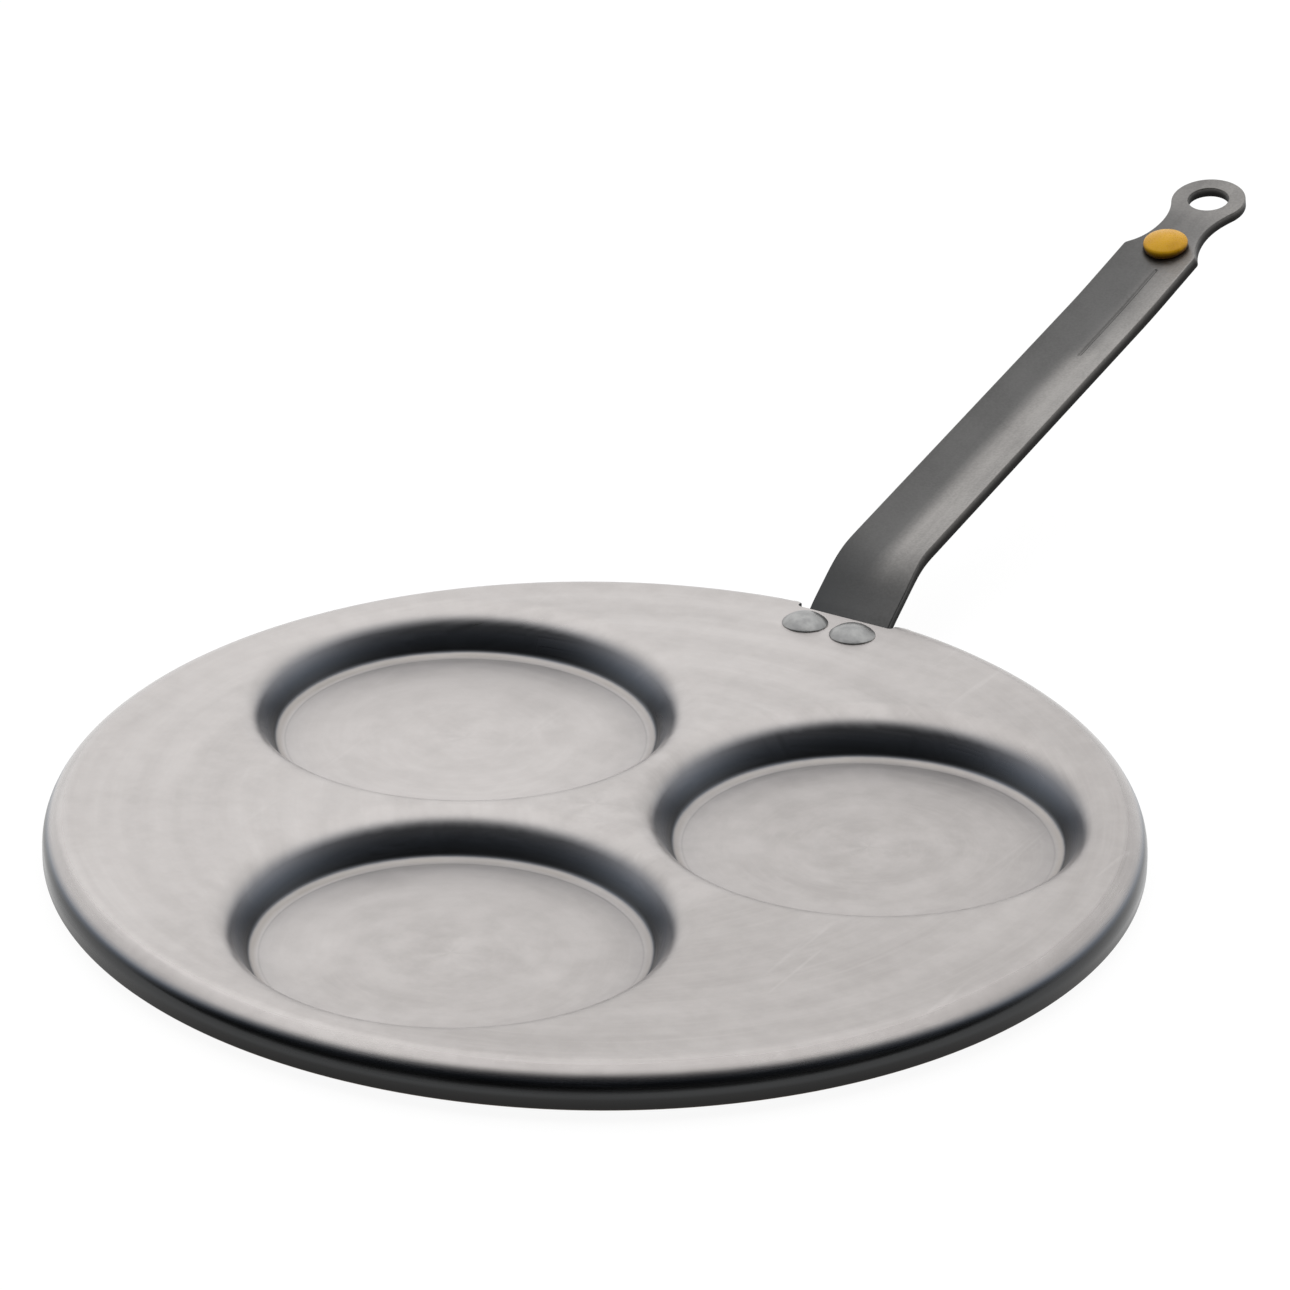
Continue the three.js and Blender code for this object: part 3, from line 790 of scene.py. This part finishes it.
def make_rivet(name, side):
    stack = SHEET + STRIP
    centre = Vector((side * RIVET_PITCH / 2, rivet_line, 0))
    middle = RIVET_LIP / RIVET_LIP_PARTS
    start = -math.asin(1 / RIVET_LIP_PARTS)
    tail = rounded_cap(RIVET_TAIL, RIVET_TAIL_RISE, RIVET_LIP, middle, start)
    tail = [(radius, -stack - height) for radius, height in tail[::-1]]
    head = rounded_cap(RIVET_HEAD, RIVET_HEAD_RISE, RIVET_LIP, middle, start)
    profile = [*tail, (RIVET_SHANK, -stack), (RIVET_SHANK, 0), *head]
    return turned(name, profile, RIVET_SEGMENTS, lambda x, y, z: centre + Vector((x, y, z)))


def make_button():
    y, z, angle = strip_path.at(button_run)

    def place(across, along, height):
        """The head's underside follows the leg's hollow."""
        if height > 0:
            lift = GUTTER_DEPTH * (across / LEG_HALF) ** 2
            height += lift * max(0.0, 1 - height / BUTTON_EDGE)
        step = along * math.cos(angle) - height * math.sin(angle)
        rise = along * math.sin(angle) + height * math.cos(angle)
        return Vector((across, y + step, z + rise))

    stem = [
        (0, -BUTTON_STEM_LENGTH),
        (BUTTON_STEM - BUTTON_FOOT_LIP, -BUTTON_STEM_LENGTH),
        (BUTTON_STEM, BUTTON_FOOT_LIP - BUTTON_STEM_LENGTH),
    ]
    head = [
        (BUTTON_STEM, BUTTON_GAP),
        (BUTTON_HEAD - BUTTON_FOOT_LIP, BUTTON_GAP),
        (BUTTON_HEAD, BUTTON_GAP + BUTTON_FOOT_LIP),
    ]
    cap = rounded_cap(BUTTON_HEAD, BUTTON_RISE, BUTTON_LIP, BUTTON_EDGE - BUTTON_LIP / 2, 0)
    return turned("button", stem + head + cap, BUTTON_SEGMENTS, place)


# Materials


class Nodes:
    """A material's node tree, with short calls to add and link nodes."""

    def __init__(self, tree):
        self.tree = tree
        tree.nodes.clear()

    def add(self, kind, settings=None, **inputs):
        """A new node. Inputs go by name, or by number as i0, i1 and so on."""
        node = self.tree.nodes.new(kind)
        for key, value in (settings or {}).items():
            setattr(node, key, value)
        for key, value in inputs.items():
            name = int(key[1:]) if key[0] == "i" and key[1:].isdigit() else key.replace("_", " ")
            self.set(node.inputs[name], value)
        return node

    def set(self, socket, value):
        if isinstance(value, bpy.types.NodeSocket):
            self.tree.links.new(value, socket)
        else:
            socket.default_value = value

    def math(self, operation, first, second):
        return self.add("ShaderNodeMath", {"operation": operation}, i0=first, i1=second).outputs[0]

    def total(self, first, *others):
        for other in others:
            first = self.math("ADD", first, other)
        return first

    def vector_math(self, operation, first, second):
        return self.add("ShaderNodeVectorMath", {"operation": operation}, i0=first, i1=second).outputs

    def ramp(self, value, low, high, start=0.0, end=1.0):
        """A soft change from start, where the value is low, to end, where it is high."""
        settings = {"interpolation_type": "SMOOTHSTEP"}
        inputs = {"From_Min": low, "From_Max": high, "To_Min": start, "To_Max": end}
        return self.add("ShaderNodeMapRange", settings, Value=value, **inputs).outputs[0]

    def vary(self, noise, start=0.0, end=1.0):
        """A change from start to end over the usual range of a noise."""
        return self.ramp(noise, *NOISE_RANGE, start, end)

    def mix(self, share, first, second):
        node = self.add("ShaderNodeMix", {"data_type": "RGBA"})
        self.set(node.inputs[0], share)
        self.set(node.inputs[6], first)
        self.set(node.inputs[7], second)
        return node.outputs[2]

    def value_of(self, name, output="Fac"):
        return self.add("ShaderNodeAttribute", {"attribute_name": name}).outputs[output]

    def share_of(self, name, share):
        return self.math("MULTIPLY", self.value_of(name), share)

    def noise(self, vector, scale, detail, roughness=0.5):
        inputs = {"Vector": vector, "Scale": scale, "Detail": detail, "Roughness": roughness}
        return self.add("ShaderNodeTexNoise", **inputs).outputs[0]

    def stretched(self, vector, scale):
        return self.vector_math("MULTIPLY", vector, scale)[0]

    def bump(self, height, strength, distance):
        return self.add("ShaderNodeBump", Strength=strength, Distance=distance, Height=height).outputs[0]


def material(name):
    made = bpy.data.materials.new(name)
    made.use_nodes = True
    return made, Nodes(made.node_tree)


def finish_surface(nodes, **inputs):
    shader = nodes.add("ShaderNodeBsdfPrincipled", **inputs)
    nodes.add("ShaderNodeOutputMaterial", Surface=shader.outputs[0])


def polar(nodes, vector, along):
    """Coordinates that run round a pole: noise drawn in them makes arcs."""
    flat = nodes.stretched(vector, (1, 1, 0))
    reach = nodes.add("ShaderNodeVectorMath", {"operation": "LENGTH"}, i0=flat).outputs["Value"]
    facing = nodes.add("ShaderNodeVectorMath", {"operation": "NORMALIZE"}, i0=flat).outputs[0]
    scaled = nodes.stretched(facing, (along, along, 0))
    lifted = nodes.add("ShaderNodeCombineXYZ", Z=reach).outputs[0]
    return nodes.vector_math("ADD", scaled, lifted)[0]


def plate_steel():
    made, nodes = material("plate_steel")
    place = nodes.add("ShaderNodeTexCoord").outputs["Object"]
    swirl = nodes.value_of("swirl", "Vector")
    arcs = nodes.noise(polar(nodes, swirl, 0.004), 700, 4, 0.6)
    wide_arcs = nodes.noise(polar(nodes, swirl, 0.01), 110, 3)
    clouds = nodes.noise(place, 16, 4)
    grain = nodes.noise(place, 900, 2)
    mottle = nodes.noise(place, 150, 5, 0.65)
    patches = nodes.noise(place, 32, 3, 0.6)
    scuffs = nodes.noise(nodes.stretched(place, (1, 0.05, 1)), 260, 2)
    # painted light: lighter toward one side of the plate; the noises add random tone
    across = nodes.vector_math("DOT_PRODUCT", place, LIT_SIDE)["Value"]
    tone = nodes.total(
        nodes.vary(wide_arcs, -0.7, 0.7),
        nodes.vary(clouds, -0.8, 0.8),
        nodes.vary(mottle, -0.5, 0.5),
        nodes.ramp(across, *LIT_SIDE_REACH, -1.2, 1.4),
    )
    light = nodes.mix(nodes.ramp(tone, -3.4, 3.4), PLATE_DULL, PLATE_CLEAN)
    worn = nodes.mix(nodes.ramp(arcs, 0.4, 0.75, 0.0, 0.3), light, PLATE_WORN)
    worn = nodes.mix(nodes.ramp(scuffs, 0.66, 0.78, 0.0, 0.25), worn, PLATE_SCUFF)
    # painted shade and painted dark reflections from the dark values: bluish, then deep, then deepest on the
    # skirt
    shade = nodes.value_of("dark")
    bluish_shade = nodes.mix(nodes.ramp(shade, 0.0, 0.8), worn, PLATE_BLUISH_SHADE)
    dark = nodes.mix(nodes.ramp(shade, 0.5, 1.0), bluish_shade, PLATE_DEEP_SHADE)
    dark = nodes.mix(nodes.ramp(shade, 1.0, 1.2), dark, PLATE_SKIRT_SHADE)
    rubbed_wide = nodes.ramp(patches, 0.36, 0.6, 0.35, 1.0)
    rubbed_fine = nodes.ramp(mottle, 0.3, 0.6, 0.6, 1.0)
    rubbed = nodes.share_of("burnish", nodes.math("MULTIPLY", rubbed_wide, rubbed_fine))
    ringed = nodes.mix(rubbed, dark, PLATE_RING)
    lined = nodes.mix(nodes.share_of("line", 0.15), ringed, PLATE_LINE)
    colour = nodes.mix(nodes.share_of("edge", 0.65), lined, PLATE_CUT)
    rough = nodes.total(
        nodes.vary(arcs, 0.43, 0.52),
        nodes.vary(clouds, -0.03, 0.03),
        nodes.share_of("bend", -0.23),
        nodes.share_of("burnish", 0.12),
    )
    bump = nodes.bump(nodes.total(arcs, nodes.math("MULTIPLY", grain, 0.5)), 0.06, 0.0002)
    metal = nodes.ramp(shade, 0.1, 0.8, 0.88, 1.0)
    finish_surface(nodes, Base_Color=colour, Roughness=rough, Normal=bump, Metallic=metal)
    return made


def strip_steel():
    made, nodes = material("strip_steel")
    along = nodes.value_of("along", "Vector")
    place = nodes.add("ShaderNodeTexCoord").outputs["Object"]
    streaks = nodes.noise(nodes.stretched(along, (1, 0.06, 1)), 420, 3)
    clouds = nodes.noise(place, 45, 4)
    grain = nodes.noise(place, 1400, 2)
    tone = nodes.total(
        nodes.vary(streaks, -0.4, 0.4),
        nodes.vary(clouds, -0.6, 0.6),
        nodes.vary(grain, -0.4, 0.4),
    )
    # painted light and shade, from the light values
    lit_and_shaded = nodes.mix(nodes.value_of("light"), STRIP_SHADED, STRIP_LIT)
    face = nodes.mix(nodes.ramp(tone, -1.3, 1.3, 0, 0.3), lit_and_shaded, STRIP_STREAK)
    edge = nodes.value_of("edge")
    # painted shade on the edges
    colour = nodes.mix(nodes.ramp(edge, 0.35, 0.9, 0.0, 0.95), face, STRIP_EDGE_SHADE)
    metal = nodes.ramp(edge, 0.3, 0.9, 1.0, 0.05)
    rough = nodes.total(nodes.vary(grain, 0.32, 0.4), nodes.vary(clouds, -0.03, 0.04))
    bump = nodes.bump(grain, 0.1, 0.0002)
    surface = {"Base_Color": colour, "Roughness": rough, "Normal": bump, "Metallic": metal}
    finish_surface(nodes, Specular_IOR_Level=0.03, **surface)
    return made


def rivet_steel():
    made, nodes = material("rivet_steel")
    place = nodes.add("ShaderNodeTexCoord").outputs["Object"]
    clouds = nodes.noise(place, 260, 4)
    grain = nodes.noise(place, 1800, 2)
    colour = nodes.mix(nodes.vary(clouds), RIVET_DULL, RIVET_CLEAN)
    rough = nodes.vary(clouds, 0.36, 0.28)
    bump = nodes.bump(grain, 0.12, 0.0003)
    finish_surface(nodes, Base_Color=colour, Roughness=rough, Normal=bump, Metallic=1.0)
    return made


def amber_plug():
    made, nodes = material("amber_plug")
    place = nodes.add("ShaderNodeTexCoord").outputs["Object"]
    clouds = nodes.noise(place, 220, 3)
    grain = nodes.noise(place, 2500, 2)
    fresh = nodes.mix(nodes.vary(clouds), AMBER_DEEP, AMBER_FRESH)
    # painted shade low on the head, darker toward the strip
    low = nodes.ramp(nodes.value_of("height"), 0.5, 2.3, 0.9, 0.0)
    colour = nodes.mix(low, fresh, AMBER_FOOT_SHADE)
    rough = nodes.vary(grain, 0.24, 0.34)
    bump = nodes.bump(grain, 0.05, 0.0002)
    finish_surface(nodes, Base_Color=colour, Roughness=rough, Normal=bump, Specular_IOR_Level=0.22)
    return made


# Studio


def make_floor():
    """A pale round floor that keeps the shadow and shows as white."""
    made, nodes = material("floor_pale")
    path = nodes.add("ShaderNodeLightPath").outputs
    seen = nodes.math("MAXIMUM", path["Is Camera Ray"], path["Is Glossy Ray"])
    seen = nodes.math("MAXIMUM", seen, path["Is Transmission Ray"])
    matte = nodes.add("ShaderNodeBsdfDiffuse", Color=GROUND_GREY)
    white = nodes.add("ShaderNodeEmission", Color=WHITE, Strength=GROUND_GLOW)
    share = nodes.math("MULTIPLY", seen, GROUND_SEEN_WHITE)
    both = nodes.add("ShaderNodeMixShader", i0=share, i1=matte.outputs[0], i2=white.outputs[0])
    nodes.add("ShaderNodeOutputMaterial", Surface=both.outputs[0])
    circles = np.concatenate([ring((0, 0), reach, GROUND_SEGMENTS) for reach in GROUND_RADII])
    verts = [Vector((*point, ground_height)) for point in [(0, 0), *circles]]
    turns = [(i, (i + 1) % GROUND_SEGMENTS) for i in range(GROUND_SEGMENTS)]
    faces = [(0, 1 + i, 1 + k) for i, k in turns]
    for band in range(len(GROUND_RADII) - 1):
        near = 1 + band * GROUND_SEGMENTS
        far = near + GROUND_SEGMENTS
        faces += [(near + i, far + i, far + k, near + k) for i, k in turns]
    floor = shown("floor", verts, faces)
    floor.data.materials.append(made)


def make_world():
    """Soft white light all round, brightest overhead, apart from one dim end of the studio."""
    world = bpy.data.worlds.new("studio")
    bpy.context.scene.world = world
    world.use_nodes = True
    nodes = Nodes(world.node_tree)
    facing = nodes.add("ShaderNodeTexCoord").outputs["Generated"]
    lean = nodes.vector_math("DOT_PRODUCT", facing, DIM_WAY)["Value"]
    upward = nodes.add("ShaderNodeSeparateXYZ", Vector=facing).outputs["Z"]
    soft = nodes.ramp(lean, *DIM_REACH, 1.0, DIM_LEVEL)
    level = nodes.math("MULTIPLY", soft, nodes.ramp(upward, *OVERHEAD_REACH, 1.0, OVERHEAD_LEVEL))
    light = nodes.add("ShaderNodeBackground", Color=WHITE, Strength=level)
    nodes.add("ShaderNodeOutputWorld", Surface=light.outputs[0])


def make_lamp():
    lamp = bpy.data.lights.new("key", "AREA")
    lamp.size = LAMP_SIZE
    lamp.energy = LAMP_POWER
    holder = bpy.data.objects.new("key", lamp)
    bpy.context.collection.objects.link(holder)
    holder.location = LAMP_PLACE
    holder.rotation_euler = (Vector(LAMP_TARGET) - Vector(LAMP_PLACE)).to_track_quat("-Z", "Y").to_euler()


def make_camera():
    camera = bpy.data.cameras.new("camera")
    camera.lens = CAMERA_LENS
    camera.sensor_width = CAMERA_SENSOR
    holder = bpy.data.objects.new("camera", camera)
    bpy.context.collection.objects.link(holder)
    back = Vector(CAMERA_BACK).normalized()
    level = Vector(CAMERA_RIGHT)
    upright = back.cross(level)
    right = level * math.cos(CAMERA_ROLL) + upright * math.sin(CAMERA_ROLL)
    up = back.cross(right)
    turn = Matrix((right, up, back)).transposed()
    holder.matrix_world = Matrix.Translation(CAMERA_PLACE) @ turn.to_4x4()
    bpy.context.scene.camera = holder


# Assembly


def fit(piece, surface, body, node):
    """Gives a piece its material and its body, and hides the node that it stands for."""
    piece.data.materials.append(surface)
    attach(piece, body)
    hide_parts(node)


make_camera()
make_floor()
make_world()
make_lamp()

fit(make_plate(), plate_steel(), "pan", "griddle_plate")
fit(make_strip(), strip_steel(), "pan", "handle_strip")
steel = rivet_steel()
for word, way in (("left", -1), ("right", 1)):
    fit(make_rivet(f"rivet_head_{word}", way), steel, "pan", f"rivet_{word}")
fit(make_button(), amber_plug(), "button", "handle_button")

bpy.context.scene.view_settings.view_transform = "Standard"
